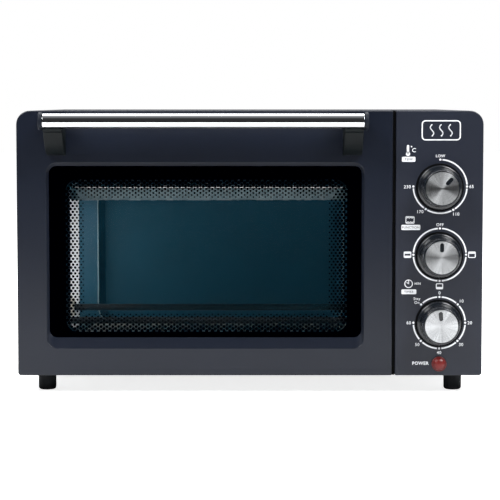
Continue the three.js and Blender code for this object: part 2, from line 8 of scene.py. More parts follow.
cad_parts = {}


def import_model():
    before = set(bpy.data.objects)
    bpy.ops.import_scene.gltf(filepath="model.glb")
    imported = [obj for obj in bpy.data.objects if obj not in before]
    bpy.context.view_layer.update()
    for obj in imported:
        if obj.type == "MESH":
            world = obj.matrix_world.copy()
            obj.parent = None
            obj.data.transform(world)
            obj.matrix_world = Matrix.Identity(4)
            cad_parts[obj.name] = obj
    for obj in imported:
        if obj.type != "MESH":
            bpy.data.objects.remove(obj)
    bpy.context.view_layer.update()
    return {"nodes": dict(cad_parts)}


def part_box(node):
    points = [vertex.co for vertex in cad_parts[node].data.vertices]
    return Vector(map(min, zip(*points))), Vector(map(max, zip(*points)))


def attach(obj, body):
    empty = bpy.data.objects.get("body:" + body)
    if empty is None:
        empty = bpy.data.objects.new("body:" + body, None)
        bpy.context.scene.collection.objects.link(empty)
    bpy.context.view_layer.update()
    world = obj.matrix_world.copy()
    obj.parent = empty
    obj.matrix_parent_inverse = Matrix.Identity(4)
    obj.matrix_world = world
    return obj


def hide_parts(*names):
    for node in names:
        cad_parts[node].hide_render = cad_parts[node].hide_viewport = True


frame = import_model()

MM = 0.001
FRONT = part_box("door_frame")[0].y  # y of the door's front face, in metres
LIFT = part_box("door_frame")[0].z - 0.0125  # how far the feet raise the oven
OVEN = Matrix.Translation((0, FRONT, LIFT)) @ Matrix.Scale(MM, 4)  # from millimetres, y = depth
TAU = 2 * math.pi
random.seed(7)


# ---------- sizes, in millimetres, read from the CAD pieces ----------
class Box:
    """A CAD node's box: x, depth behind the door's front face, and height."""

    def __init__(self, node):
        lo, hi = (OVEN.inverted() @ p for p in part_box(node))
        (self.x0, self.d0, self.z0), (self.x1, self.d1, self.z1) = lo, hi
        self.x, self.d, self.z = (lo + hi) / 2


DOOR = Box("door_frame")
PANEL = Box("control_panel")
GLASS = Box("door_glass")
BAR = Box("handle_bar")
PAN = Box("baking_pan")
RACK = Box("wire_rack")
LENS = Box("pilot_lens")
DIALS = {name: Box(name + "_shaft") for name in ("temperature", "function", "timer")}
POINTERS = {"temperature": 45, "function": 0, "timer": -4}  # degrees clockwise from the top
BIG_CORNER, SMALL_CORNER, GAP_CORNER = 12, 2.6, 1.1  # the last one is beside the gap of door and panel
PER_CORNER = 8
MANY_FACES = 9000  # flat_normals() is skipped for a piece with this many faces or more


# ---------- mesh helpers ----------
def rounded(x0, x1, z0, z1, radii, per=PER_CORNER):
    """Points of a rounded rectangle, from its bottom left corner round."""
    radii = radii if isinstance(radii, (list, tuple)) else [radii] * 4
    centres = [(x0, z0, 1, 1, 180), (x1, z0, -1, 1, 270), (x1, z1, -1, -1, 0), (x0, z1, 1, -1, 90)]
    points = []
    for (x, z, sx, sz, start), r in zip(centres, radii):
        for i in range(per + 1):
            a = math.radians(start + 90 * i / per)
            points.append((x + sx * r + r * math.cos(a), z + sz * r + r * math.sin(a)))
    return points


def upright(points, d):
    return [(x, d, z) for x, z in points]


def level(points, z):
    return [(x, d, z) for x, d in points]


def loft(rings, closed=False):
    """Quads between rings with the same number of points; open ends are capped."""
    bm = bmesh.new()
    rows = [[bm.verts.new(p) for p in ring] for ring in rings]
    count = len(rows[0])
    pairs = list(zip(rows, rows[1:] + rows[:1])) if closed else list(zip(rows, rows[1:]))
    for a, b in pairs:
        for i in range(count):
            j = (i + 1) % count
            bm.faces.new((a[i], a[j], b[j], b[i]))
    if not closed:
        bm.faces.new(rows[0][::-1])
        bm.faces.new(rows[-1])
    return bm


def lathe(profile, centre, axis="y", segments=64):
    """A profile of (radius, place along the axis) turned round; radius 0 is a pole."""
    bm = bmesh.new()
    place = {
        "x": lambda r, t, a: (t, r * math.cos(a), r * math.sin(a)),
        "y": lambda r, t, a: (r * math.cos(a), t, r * math.sin(a)),
        "z": lambda r, t, a: (r * math.cos(a), r * math.sin(a), t),
    }[axis]
    rows = []
    for r, t in profile:
        if r == 0:
            rows.append([bm.verts.new(place(0, t, 0))])
        else:
            rows.append([bm.verts.new(place(r, t, TAU * i / segments)) for i in range(segments)])
    for a, b in zip(rows, rows[1:]):
        for i in range(segments):
            j = (i + 1) % segments
            if len(a) > 1 and len(b) > 1:
                bm.faces.new((a[i], a[j], b[j], b[i]))
            elif len(a) > 1:
                bm.faces.new((a[i], a[j], b[0]))
            elif len(b) > 1:
                bm.faces.new((a[0], b[j], b[i]))
    bmesh.ops.translate(bm, vec=Vector(centre), verts=bm.verts)
    return bm


def arc(r0, t0, r1, t1, bulge=1, steps=5):
    """A quarter ellipse between two profile points. bulge 1 leaves along t, -1 along r."""
    points = []
    for i in range(1, steps + 1):
        a = math.pi / 2 * i / steps
        if bulge > 0:
            points.append((r1 + (r0 - r1) * math.cos(a), t0 + (t1 - t0) * math.sin(a)))
        else:
            points.append((r0 + (r1 - r0) * math.sin(a), t1 + (t0 - t1) * math.cos(a)))
    return points


def block(x0, x1, d0, d1, z0, z1):
    corners = [(x0, z0), (x1, z0), (x1, z1), (x0, z1)]
    return loft([upright(corners, d0), upright(corners, d1)])


def joined(parts):
    whole = bmesh.new()
    for bm in parts:
        mesh = bpy.data.meshes.new("part")
        bm.to_mesh(mesh)
        whole.from_mesh(mesh)
        bpy.data.meshes.remove(mesh)
    return whole


def copy_of(node):
    """A CAD node's mesh with its flat faces made whole again."""
    bm = bmesh.new()
    bm.from_mesh(frame["nodes"][node].data)
    bm.transform(OVEN.inverted())
    bmesh.ops.remove_doubles(bm, verts=bm.verts, dist=0.004)
    bmesh.ops.dissolve_limit(bm, angle_limit=math.radians(0.6), verts=bm.verts, edges=bm.edges)
    return bm


def round_edges(bm, width, segments=2, above=34):
    """Rounds every edge that turns by more than so many degrees."""
    sharp = [e for e in bm.edges if len(e.link_faces) == 2 and e.calc_face_angle(0) > math.radians(above)]
    bmesh.ops.bevel(bm, geom=sharp, offset=width, segments=segments, profile=0.5,
                    affect="EDGES", clamp_overlap=True)
    return bm


def raw_object(bm, name):
    mesh = bpy.data.meshes.new(name)
    bm.to_mesh(mesh)
    obj = bpy.data.objects.new(name, mesh)
    bpy.context.scene.collection.objects.link(obj)
    return obj


def carved(bm, cutters):
    """The solid with the cutters taken out."""
    obj = raw_object(bm, "carving")
    tool = raw_object(joined(cutters), "tool")
    modifier = obj.modifiers.new("cut", "BOOLEAN")
    modifier.object = tool
    modifier.operation = "DIFFERENCE"
    modifier.solver = "EXACT"
    bpy.context.view_layer.update()
    result = bmesh.new()
    result.from_mesh(obj.evaluated_get(bpy.context.evaluated_depsgraph_get()).to_mesh())
    for o in (obj, tool):
        bpy.data.objects.remove(o)
    return result


def curve_solid(data):
    """A curve or text datablock as a bmesh."""
    obj = bpy.data.objects.new("curve", data)
    bpy.context.scene.collection.objects.link(obj)
    bpy.context.view_layer.update()
    bm = bmesh.new()
    bm.from_mesh(obj.evaluated_get(bpy.context.evaluated_depsgraph_get()).to_mesh())
    bpy.data.objects.remove(obj)
    bmesh.ops.remove_doubles(bm, verts=bm.verts, dist=0.0005)
    return bm


def plate(loops, d0, d1, edge=0.0):
    """A flat piece from closed loops of (x, z), the first outside and the rest holes."""
    data = bpy.data.curves.new("plate", "CURVE")
    data.dimensions = "2D"
    data.fill_mode = "BOTH"
    data.extrude = (d1 - d0) / 2 - edge
    data.bevel_depth = edge
    data.bevel_resolution = 1
    data.offset = -edge
    for loop in loops:
        spline = data.splines.new("POLY")
        spline.points.add(len(loop) - 1)
        for point, (x, z) in zip(spline.points, loop):
            point.co = (x, z, 0, 1)
        spline.use_cyclic_u = True
    bm = curve_solid(data)
    bm.transform(Matrix.Translation((0, (d0 + d1) / 2, 0)) @ Matrix.Rotation(math.pi / 2, 4, "X"))
    return bm


def wire(points, radius, closed=False, resolution=4):
    data = bpy.data.curves.new("wire", "CURVE")
    data.dimensions = "3D"
    data.bevel_depth = radius
    data.bevel_resolution = resolution
    data.use_fill_caps = not closed
    spline = data.splines.new("POLY")
    spline.points.add(len(points) - 1)
    for point, co in zip(spline.points, points):
        point.co = (*co, 1)
    spline.use_cyclic_u = closed
    return curve_solid(data)


def circle(x, z, r, count=48):
    return [(x + r * math.cos(TAU * i / count), z + r * math.sin(TAU * i / count)) for i in range(count)]


def flat_normals(mesh):
    """Large flat faces keep their own normal, so that only the small edge faces shade round."""
    bm = bmesh.new()
    bm.from_mesh(mesh)
    fans = {}
    for vert in bm.verts:
        left = set(vert.link_faces)
        while left:
            fan, queue = [], [left.pop()]
            while queue:
                face = queue.pop()
                fan.append(face)
                for edge in face.edges:
                    if edge.smooth and vert in edge.verts:
                        for other in edge.link_faces:
                            if other in left:
                                left.remove(other)
                                queue.append(other)
            normal = sum((face.normal * face.calc_area() for face in fan), Vector())
            for face in fan:
                fans[face.index, vert.index] = normal.normalized() if normal.length else face.normal
    bm.faces.index_update()
    normals = [tuple(fans[face.index, loop.vert.index]) for face in bm.faces for loop in face.loops]
    bm.free()
    mesh.normals_split_custom_set(normals)


def piece(name, bm, look, body, replaces=(), smooth=34, edge=0.0, segments=2):
    """The mesh as a named piece on a CAD body. look may be a list of materials."""
    bmesh.ops.remove_doubles(bm, verts=bm.verts, dist=0.0004)
    if edge:
        round_edges(bm, edge, segments)
    bmesh.ops.recalc_face_normals(bm, faces=bm.faces)
    bm.transform(OVEN)
    for face in bm.faces:
        face.smooth = True
    obj = raw_object(bm, name)
    obj.data.set_sharp_from_angle(angle=math.radians(smooth))
    if len(obj.data.polygons) < MANY_FACES:
        flat_normals(obj.data)
    for material in look if isinstance(look, list) else [look]:
        obj.data.materials.append(material)
    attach(obj, body)
    if replaces:
        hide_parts(*replaces)
    return obj


def refined(node, look, body, edge=0.25, smooth=34):
    """A CAD node's own shape with rounded edges, under the name NODE_fine."""
    return piece(node + "_fine", copy_of(node), look, body, [node], smooth, edge)


# ---------- materials ----------
def srgb(r, g, b):
    return [((c / 255 + 0.055) / 1.055) ** 2.4 if c > 10 else c / 255 / 12.92 for c in (r, g, b)] + [1]


def shade(colour, times, plus=0.0):
    return [min(1, c * times + plus) for c in colour[:3]] + [1]


class Look:
    """A node material on the Principled shader, with helpers for patterns."""

    def __init__(self, name, colour, rough, metal=0.0, **constant):
        self.material = bpy.data.materials.new(name)
        self.material.use_nodes = True
        self.tree = self.material.node_tree
        self.shader = self.tree.nodes["Principled BSDF"]
        self.colour = colour
        self.set("Base Color", colour)
        self.set("Roughness", rough)
        self.set("Metallic", metal)
        for key, value in constant.items():
            self.set(key.replace("_", " "), value)
        self.place = self.node("ShaderNodeTexCoord").outputs["Object"]
        self.normal = None

    def set(self, socket, value):
        self.shader.inputs[socket].default_value = value

    def node(self, kind, **settings):
        n = self.tree.nodes.new(kind)
        for key, value in settings.items():
            setattr(n, key, value)
        return n

    def link(self, a, b):
        self.tree.links.new(a, b)

    def noise(self, scale, detail=3, stretch=(1, 1, 1), place=None, roughness=0.55):
        """Noise whose scale is in features per metre."""
        mapping = self.node("ShaderNodeMapping")
        mapping.inputs["Scale"].default_value = stretch
        self.link(place or self.place, mapping.inputs["Vector"])
        n = self.node("ShaderNodeTexNoise")
        n.inputs["Scale"].default_value = scale
        n.inputs["Detail"].default_value = detail
        n.inputs["Roughness"].default_value = roughness
        self.link(mapping.outputs["Vector"], n.inputs["Vector"])
        return n.outputs["Fac"]

    def cells(self, scale, feature="F1", output="Color"):
        n = self.node("ShaderNodeTexVoronoi", feature=feature)
        n.inputs["Scale"].default_value = scale
        self.link(self.place, n.inputs["Vector"])
        return n.outputs[output]

    def ranged(self, value, low, high, from_low=0.0, from_high=1.0):
        n = self.node("ShaderNodeMapRange")
        for key, v in (("From Min", from_low), ("From Max", from_high), ("To Min", low), ("To Max", high)):
            n.inputs[key].default_value = v
        self.link(value, n.inputs["Value"])
        return n.outputs["Result"]

    def math(self, operation, a, b=None):
        n = self.node("ShaderNodeMath", operation=operation)
        for socket, v in zip(n.inputs, (a, b)):
            if v is None:
                continue
            if isinstance(v, (int, float)):
                socket.default_value = v
            else:
                self.link(v, socket)
        return n.outputs[0]

    def vector(self, operation, a, b=(0, 0, 0)):
        n = self.node("ShaderNodeVectorMath", operation=operation)
        self.link(a, n.inputs[0])
        n.inputs[1].default_value = b
        return n.outputs["Value" if operation == "LENGTH" else "Vector"]

    def tint(self, value, colour, strength=1.0):
        """Mixes a colour over the base where value is 1."""
        n = self.node("ShaderNodeMix", data_type="RGBA")
        factor = self.math("MULTIPLY", value, strength) if strength != 1.0 else value
        self.link(factor, n.inputs["Factor"])
        base = self.shader.inputs["Base Color"]
        if base.is_linked:
            self.link(base.links[0].from_socket, n.inputs["A"])
        else:
            n.inputs["A"].default_value = base.default_value
        n.inputs["B"].default_value = colour
        self.link(n.outputs["Result"], base)
        return self

    def mottle(self, scale, detail, most, low, high, colour):
        """Soft patches of a colour, at most so strong, where noise runs from low to high."""
        return self.tint(self.ranged(self.noise(scale, detail), 0, most, low, high), colour)

    def rough(self, value, low, high):
        self.link(self.ranged(value, low, high), self.shader.inputs["Roughness"])
        return self

    def bump(self, value, height, strength=1.0):
        """height is in millimetres."""
        n = self.node("ShaderNodeBump")
        n.inputs["Distance"].default_value = height * MM
        n.inputs["Strength"].default_value = strength
        self.link(value, n.inputs["Height"])
        if self.normal is not None:
            self.link(self.normal, n.inputs["Normal"])
        self.normal = n.outputs["Normal"]
        self.link(self.normal, self.shader.inputs["Normal"])
        return self


def paint(name, colour, rough=(0.4, 0.52)):
    """Powder coat: a fine orange peel with a little unevenness in shade."""
    look = Look(name, colour, rough[0])
    look.mottle(9, 4, 0.8, 0.4, 0.7, shade(colour, 0.8))
    look.mottle(1400, 2, 0.5, 0.5, 0.75, shade(colour, 1.35))
    look.rough(look.noise(260, 3), *rough)
    look.bump(look.noise(1100, 2), 0.05, 0.35)
    look.bump(look.noise(160, 2), 0.06, 0.25)
    return look.material


def plastic(name, colour, rough, grain=0.3, coat=0.0, shine=0.5):
    look = Look(name, colour, rough, Coat_Weight=coat, Coat_Roughness=0.12, Specular_IOR_Level=shine)
    look.mottle(60, 4, 0.6, 0.4, 0.75, shade(colour, 1.5, 0.001))
    look.rough(look.noise(420, 3), rough * 0.85, rough * 1.2)
    look.bump(look.noise(1800, 2), 0.03, grain)
    return look.material


def polished(name, colour, rough=(0.03, 0.08)):
    """Chrome plate with hairline polishing marks along x."""
    look = Look(name, colour, rough[0], 1.0)
    hair = look.noise(900, 3, (0.02, 1, 1))
    look.rough(look.noise(500, 4, (0.05, 1, 1)), *rough)
    look.bump(hair, 0.004, 0.15)
    look.mottle(35, 4, 0.3, 0.45, 0.8, shade(colour, 0.86))
    return look.material


def sheet_steel(name, colour, metal=0.9, rough=(0.3, 0.5), spangle=160, contrast=0.35):
    """Zinc-coated sheet with soft spangle and faint rolling marks."""
    look = Look(name, colour, rough[0], metal)
    crystal = look.node("ShaderNodeSeparateColor")
    look.link(look.cells(spangle), crystal.inputs["Color"])
    grain = crystal.outputs["Red"]
    look.tint(look.ranged(grain, 0, contrast), shade(colour, 0.72))
    look.mottle(14, 5, 0.35, 0.5, 0.8, shade(colour, 0.8))
    look.rough(look.math("ADD", look.math("MULTIPLY", grain, 0.5), look.noise(700, 2)), rough[0], rough[1])
    look.bump(look.noise(700, 3, (1, 0.06, 0.06)), 0.01, 0.2)
    return look.material


def enamel(name, colour, rough=0.22, coat=0.4):
    look = Look(name, colour, rough, Coat_Weight=coat, Coat_Roughness=0.1)
    speck = look.ranged(look.cells(900, output="Distance"), 1, 0, 0.1, 0.22)
    look.tint(speck, shade(colour, 2, 0.03), 0.5)
    look.mottle(25, 4, 0.5, 0.4, 0.8, shade(colour, 0.7))
    look.rough(look.noise(120, 3), rough * 0.8, rough * 1.4)
    look.bump(look.noise(90, 2), 0.15, 0.2)
    return look.material


def spun_aluminium(name):
    """Turned face: fine rings round its middle, with darker sectors painted round it that stand for the
    shaded wedges of its brushed sheen.
    """
    look = Look(name, srgb(226, 228, 230), 0.3, 1.0, Anisotropic=0.9, Anisotropic_Rotation=0.25)
    around = look.node("ShaderNodeTangent", direction_type="RADIAL", axis="Y")
    look.link(around.outputs["Tangent"], look.shader.inputs["Tangent"])
    place = look.node("ShaderNodeTexCoord").outputs["Generated"]
    flat = look.vector("MULTIPLY", look.vector("SUBTRACT", place, (0.5, 0.5, 0.5)), (1, 0, 1))
    ring = look.node("ShaderNodeCombineXYZ")
    look.link(look.vector("LENGTH", flat), ring.inputs["X"])
    rings = look.noise(170, 3, place=ring.outputs[0], roughness=0.7)
    # Darker sectors round the middle: painted shade for the wedges of the brushed sheen.
    fan = look.noise(7, 2, place=look.vector("NORMALIZE", flat), roughness=0.6)
    look.tint(look.ranged(rings, 0, 0.5, 0.35, 0.7), srgb(150, 153, 156))
    look.tint(look.ranged(fan, 0, 0.45, 0.45, 0.7), srgb(140, 144, 148))
    look.rough(rings, 0.2, 0.36)
    look.bump(rings, 0.02, 0.35)
    return look.material


def glass_pane(name):
    look = Look(name, srgb(8, 34, 44), 0.02, Specular_IOR_Level=0.04, Alpha=0.16)
    look.rough(look.noise(30, 4), 0.015, 0.035)
    look.mottle(12, 3, 0.3, 0.4, 0.7, srgb(12, 40, 52))
    look.bump(look.noise(6, 1), 0.02, 0.05)
    return look.material


def glow_lens(name):
    look = Look(name, srgb(128, 24, 20), 0.3, Transmission_Weight=0.25, Coat_Weight=0.1,
                Coat_Roughness=0.06)
    look.mottle(260, 3, 0.7, 0.35, 0.7, srgb(84, 4, 6))
    look.rough(look.noise(500, 2), 0.28, 0.42)
    look.bump(look.cells(620, "SMOOTH_F1", "Distance"), 0.35, 0.5)
    return look.material


def ceramic(name, colour):
    look = Look(name, colour, 0.55)
    look.mottle(120, 5, 0.6, 0.45, 0.75, shade(colour, 0.8))
    look.rough(look.noise(300, 3), 0.45, 0.7)
    look.bump(look.noise(900, 3), 0.05, 0.4)
    return look.material


def sheath(name):
    """Heater sheath: matt steel tube with a faint heat tint."""
    look = Look(name, srgb(30, 32, 34), 0.5, 0.5)
    look.mottle(22, 5, 0.7, 0.4, 0.65, srgb(46, 38, 32))
    look.mottle(9, 3, 0.6, 0.5, 0.7, srgb(22, 25, 32))
    look.rough(look.noise(400, 3), 0.4, 0.65)
    look.bump(look.noise(1200, 3), 0.02, 0.4)
    return look.material


def ink(name, colour, rough=0.5, **constant):
    """Screen print: slightly uneven in cover."""
    look = Look(name, colour, rough, **constant)
    look.mottle(700, 3, 0.35, 0.5, 0.8, shade(colour, 0.85))
    look.rough(look.noise(500, 2), rough * 0.85, min(1, rough * 1.15))
    look.bump(look.noise(2500, 2), 0.01, 0.3)
    return look.material


def rubber(name):
    look = Look(name, srgb(20, 22, 26), 0.7, Specular_IOR_Level=0.2)
    look.mottle(80, 4, 0.6, 0.4, 0.7, srgb(38, 40, 44))
    look.rough(look.noise(300, 3), 0.55, 0.85)
    look.bump(look.noise(1500, 3), 0.06, 0.5)
    return look.material


DOOR_PAINT = paint("door_powder_coat", srgb(13, 20, 34), (0.28, 0.36))
COVER_PAINT = paint("cover_powder_coat", srgb(12, 19, 32), (0.28, 0.36))
PANEL_PAINT = paint("panel_powder_coat", srgb(25, 30, 43), (0.34, 0.44))
KNOB_BLACK = plastic("knob_gloss_black", srgb(20, 24, 30), 0.2, 0.12, 0.5)
BRACKET_BLACK = plastic("bracket_black", srgb(5, 12, 15), 0.5, 0.4, 0.0, 0.22)
# Pure black for the rings round the knobs and the strip in the door gap: painted shade for the shadows there.
SHADE_BLACK = ink("painted_shade_black", srgb(1, 1, 2), 0.6, Specular_IOR_Level=0.1)
CAP_GREY = plastic("handle_end_plastic", srgb(16, 22, 32), 0.5, 0.15, 0.0, 0.2)
CASE_BLACK = plastic("case_black", srgb(26, 27, 29), 0.5, 0.5)
INLET_BLACK = plastic("inlet_black", srgb(22, 22, 24), 0.45, 0.5)
CHROME = polished("handle_chrome", [0.86, 0.88, 0.9, 1])
RACK_CHROME = polished("rack_chrome", [0.7, 0.7, 0.69, 1], (0.12, 0.25))
SPUN = spun_aluminium("spun_aluminium")
ZINC = sheet_steel("zinc_sheet", [0.62, 0.64, 0.65, 1])
LINING = sheet_steel("cavity_lining", [0.82, 0.83, 0.84, 1], 0.1, (0.32, 0.5), 220, 0.15)
TRAY_STEEL = sheet_steel("tray_steel", [0.42, 0.43, 0.38, 1], 0.8, (0.3, 0.5), 220, 0.2)
BACK_ENAMEL = enamel("back_enamel", srgb(16, 92, 118), 0.55, 0.05)
PAN_ENAMEL = enamel("pan_enamel", srgb(96, 122, 130), 0.25)
# A lighter copy of the back enamel: painted highlight for the crease lines.
CREASE_HIGHLIGHT = enamel("crease_highlight_enamel", srgb(176, 206, 212), 0.45)
PANE = glass_pane("door_glass_pane")
FRIT = ink("black_frit", srgb(0, 0, 1), 0.05, Specular_IOR_Level=0.0)
WHITE_INK = ink("white_print", srgb(238, 240, 244), 0.5)
RED = glow_lens("red_lens")
BULB = ceramic("lamp_glass", srgb(190, 190, 180))
CERAMIC = ceramic("ceramic", srgb(228, 222, 208))
SHEATH = sheath("heater_sheath")
RUBBER = rubber("foot_rubber")
SPRING_STEEL = polished("spring_steel", [0.5, 0.5, 0.49, 1], (0.2, 0.35))
BRIGHT_STEEL = polished("screw_steel", [0.66, 0.67, 0.66, 1], (0.2, 0.35))


# ---------- door ----------
WINDOW = dict(x0=GLASS.x0 + 2.2, x1=GLASS.x1 - 2.8, z0=GLASS.z0 + 1.6, z1=GLASS.z1 - 2)
SLOPE = dict(side=1.9, top=2.5, bottom=9, deep=3)
RECESS_CORNER, PANE_CORNER = 9, 6.6


def front_outline(box, inset, corners):
    """The outline of the door or the panel; corners go round from the bottom left."""
    least = {BIG_CORNER: 0, SMALL_CORNER: 0.6, GAP_CORNER: 0.3}
    return rounded(box.x0 + inset, box.x1 - inset, box.z0 + inset, box.z1 - inset,
                   [max(corner - inset, least[corner]) for corner in corners])


def door_outline(inset):
    return front_outline(DOOR, inset, (SMALL_CORNER, GAP_CORNER, GAP_CORNER, BIG_CORNER))


def window_edge(grow):
    w = WINDOW
    return rounded(w["x0"] - grow, w["x1"] + grow, w["z0"] - grow, w["z1"] + grow, RECESS_CORNER + grow)


def window_foot(grow):
    w, s = WINDOW, SLOPE
    return rounded(w["x0"] + s["side"] - grow, w["x1"] - s["side"] + grow,
                   w["z0"] + s["bottom"] - grow, w["z1"] - s["top"] + grow, PANE_CORNER + grow)


def edge_rings(outline, back, radius, steps=5):
    """Rings from the back of a pressed shell round its front edge onto the face."""
    rings = [upright(outline(0), back)]
    for i in range(steps + 1):
        a = math.pi / 2 * i / steps
        rings.append(upright(outline(radius * (1 - math.cos(a))), radius * (1 - math.sin(a))))
    return rings


def door_frame():
    sheet = 1.5
    deep = SLOPE["deep"]
    rings = edge_rings(door_outline, DOOR.d1, 1.0)
    rings += [
        upright(window_edge(0.9), 0),
        upright(window_edge(0.35), 0.12),
        upright(window_edge(0), 0.45),
        upright(window_foot(0.25), deep - 0.35),
        upright(window_foot(0), deep - 0.05),
        upright(window_foot(0.1), deep + 0.02),
        upright(window_foot(1.6), deep),
        upright(window_edge(1.6), sheet),
        upright(door_outline(sheet), sheet),
        upright(door_outline(sheet), DOOR.d1),
    ]
    mouth = dict(half=2.2, front=2.2, top=20)  # the slot that each hinge plate swings in
    hinges = [Box("hinge_plate_left"), Box("hinge_plate_right")]
    mouths = [block(h.x - mouth["half"], h.x + mouth["half"], mouth["front"], DOOR.d1 + 5, 0, mouth["top"])
              for h in hinges]
    pin = Box("hinge_pin_left")
    bores = [lathe([(0, x0), (2.3, x0), (2.3, x0 + 7), (0, x0 + 7)], (0, pin.d, pin.z), "x", 24)
             for x0 in (DOOR.x0 - 3, DOOR.x1 - 4)]
    shell = carved(loft(rings, closed=True), mouths + bores)

    def across(face):
        """Whether the cut has left this face lying across a mouth."""
        x, d, z = face.calc_center_median()
        return (any(abs(x - h.x) < mouth["half"] - 0.1 for h in hinges) and z < mouth["top"] - 1
                and mouth["front"] + 0.1 < d < DOOR.d1 - 0.1 and abs(face.normal.z) > 0.9)

    bmesh.ops.delete(shell, geom=[face for face in shell.faces if across(face)], context="FACES")
    piece("door_frame_pressed", shell, DOOR_PAINT, "door", ["door_frame"], 30)


def door_glass():
    def ring(inset, d):
        return upright(rounded(GLASS.x0 + inset, GLASS.x1 - inset, GLASS.z0 + inset, GLASS.z1 - inset,
                               5 - inset), d)
    rings = [ring(0.5, GLASS.d0), ring(0.1, GLASS.d0 + 0.2), ring(0, GLASS.d0 + 0.6),
             ring(0, GLASS.d1 - 0.6), ring(0.1, GLASS.d1 - 0.2), ring(0.5, GLASS.d1)]
    piece("door_glass_pane", loft(rings), PANE, "door", ["door_glass"])


BAND = dict(x0=-160.4, x1=84.6, z0=50.6, z1=183.6)  # outside of the dotted band on the glass
DOT_PITCH, DOT_ROW, DOT_ROWS = 5.12, 1.78, 9


def glass_print():
    """A black border on the front of the glass that breaks up into shrinking dots."""
    d1 = GLASS.d0 - 0.02
    d0 = d1 - 0.06
    inside = rounded(BAND["x0"], BAND["x1"], BAND["z0"], BAND["z1"], 10)
    outside = rounded(GLASS.x0 + 1, GLASS.x1 - 1, GLASS.z0 + 1, GLASS.z1 - 1, 4)
    border = loft([upright(outside, d0), upright(inside, d0), upright(inside, d1),
                   upright(outside, d1)], closed=True)
    parts = [border]
    wide = BAND["x1"] - BAND["x0"]
    tall = BAND["z1"] - BAND["z0"]
    dots = bmesh.new()

    def dot(x, z, r):
        rows = [[dots.verts.new((x + r * math.cos(TAU * i / 12), d, z + r * math.sin(TAU * i / 12)))
                 for i in range(12)] for d in (d0, d1)]
        dots.faces.new(rows[0][::-1])
        dots.faces.new(rows[1])
        for i in range(12):
            j = (i + 1) % 12
            dots.faces.new((rows[0][i], rows[0][j], rows[1][j], rows[1][i]))

    for row in range(DOT_ROWS):
        inward = 0.9 + row * DOT_ROW
        radius = (2.95 - 0.19 * row) / 2
        for length, across in ((wide, False), (tall, True)):
            count = int(length / DOT_PITCH) + 2
            for i in range(-count, count):
                along = (i + (0.5 if row % 2 else 0)) * DOT_PITCH
                end = length / 2 - inward - (0.9 * DOT_ROW if across else 0)
                if abs(along) > end or row < 3 and abs(along) > length / 2 - 7 + inward:
                    continue
                if across:
                    for x in (BAND["x0"] + inward, BAND["x1"] - inward):
                        dot(x, (BAND["z0"] + BAND["z1"]) / 2 + along, radius)
                else:
                    for z in (BAND["z0"] + inward, BAND["z1"] - inward):
                        dot((BAND["x0"] + BAND["x1"]) / 2 + along, z, radius)
    parts.append(dots)
    piece("glass_print", joined(parts), FRIT, "door")


def handle():
    r = (BAR.z1 - BAR.z0) / 2
    profile = [(0, BAR.x0), (r - 0.5, BAR.x0)] + arc(r - 0.5, BAR.x0, r, BAR.x0 + 0.5, -1, 3)
    profile += [(r, BAR.x0 + 1.5), (r, BAR.x1 - 1.5), (r, BAR.x1 - 0.5)]
    profile += arc(r, BAR.x1 - 0.5, r - 0.5, BAR.x1, 1, 3) + [(0, BAR.x1)]
    tube = lathe(profile, (0, BAR.d, BAR.z), "x", 96)
    piece("handle_tube", tube, CHROME, "door", ["handle_bar"])
    for side in ("left", "right"):
        cap = Box("handle_cap_" + side)
        big = (cap.z1 - cap.z0) / 2
        inner, outer = (cap.x1, cap.x0) if side == "left" else (cap.x0, cap.x1)
        s = 1 if outer > inner else -1
        profile = [(0, inner), (big - 0.4, inner)] + arc(big - 0.4, inner, big, inner + 0.4 * s, -1, 3)
        profile += [(big, outer - 1.0 * s)] + arc(big, outer - 1.0 * s, big - 1.0, outer, 1, 5)
        profile += [(big - 2.2, outer), (big - 2.6, outer - 0.35 * s), (0, outer - 0.35 * s)]
        piece("handle_end_" + side, lathe(profile, (0, BAR.d, BAR.z), "x", 64), CAP_GREY, "door",
              ["handle_cap_" + side])
        bracket(side, r)


def bracket(side, bar_radius):
    """An arm that stands on the door and cradles the bar from behind and below."""
    b = Box("handle_bracket_" + side)
    d, z = BAR.d, BAR.z
    reach = bar_radius + 0.3
    profile = [(b.d1, b.z0), (-5, b.z0 + 0.6)]
    start, bend, end = Vector((-5, b.z0 + 0.6)), Vector((-19, 210)), Vector((d + 1, z - bar_radius - 3.2))
    for i in range(1, 13):
        t = i / 12
        p = start * (1 - t) ** 2 + bend * 2 * t * (1 - t) + end * t * t
        profile.append((p.x, p.y))
    profile += [(d - 2.4, z - bar_radius - 2.7), (d - 4, z - bar_radius - 1)]
    first = math.atan2(-bar_radius - 1, -4)
    last = math.atan2(b.z1 - z, 7.5)
    for i in range(25):
        a = first + (last - first) * i / 24
        profile.append((d + reach * math.cos(a), z + reach * math.sin(a)))
    profile += [(d + 7.5, b.z1), (b.d1, b.z1)]
    rings = [[(x, p, q) for p, q in profile] for x in (b.x0, b.x1)]
    piece("handle_bracket_arm_" + side, loft(rings), BRACKET_BLACK, "door",
          ["handle_bracket_" + side], 40, 0.9, 3)


# ---------- controls ----------
def panel_outline(inset):
    return front_outline(PANEL, inset, (GAP_CORNER, SMALL_CORNER, BIG_CORNER, GAP_CORNER))


def control_panel():
    rings = edge_rings(panel_outline, PANEL.d1, 1.0)
    inner = [upright(panel_outline(2), PANEL.d1), upright(panel_outline(2), 2)]
    shell = loft(inner[::-1] + rings)
    holes = [lathe([(0, -4), (4.2, -4), (4.2, 5), (0, 5)], (b.x, 0, b.z), "y", 32) for b in DIALS.values()]
    holes.append(lathe([(0, -4), (5.3, -4), (5.3, 5), (0, 5)], (LENS.x, 0, LENS.z), "y", 32))
    piece("control_panel_shell", carved(shell, holes), PANEL_PAINT, "body",
          ["control_panel"], 30)


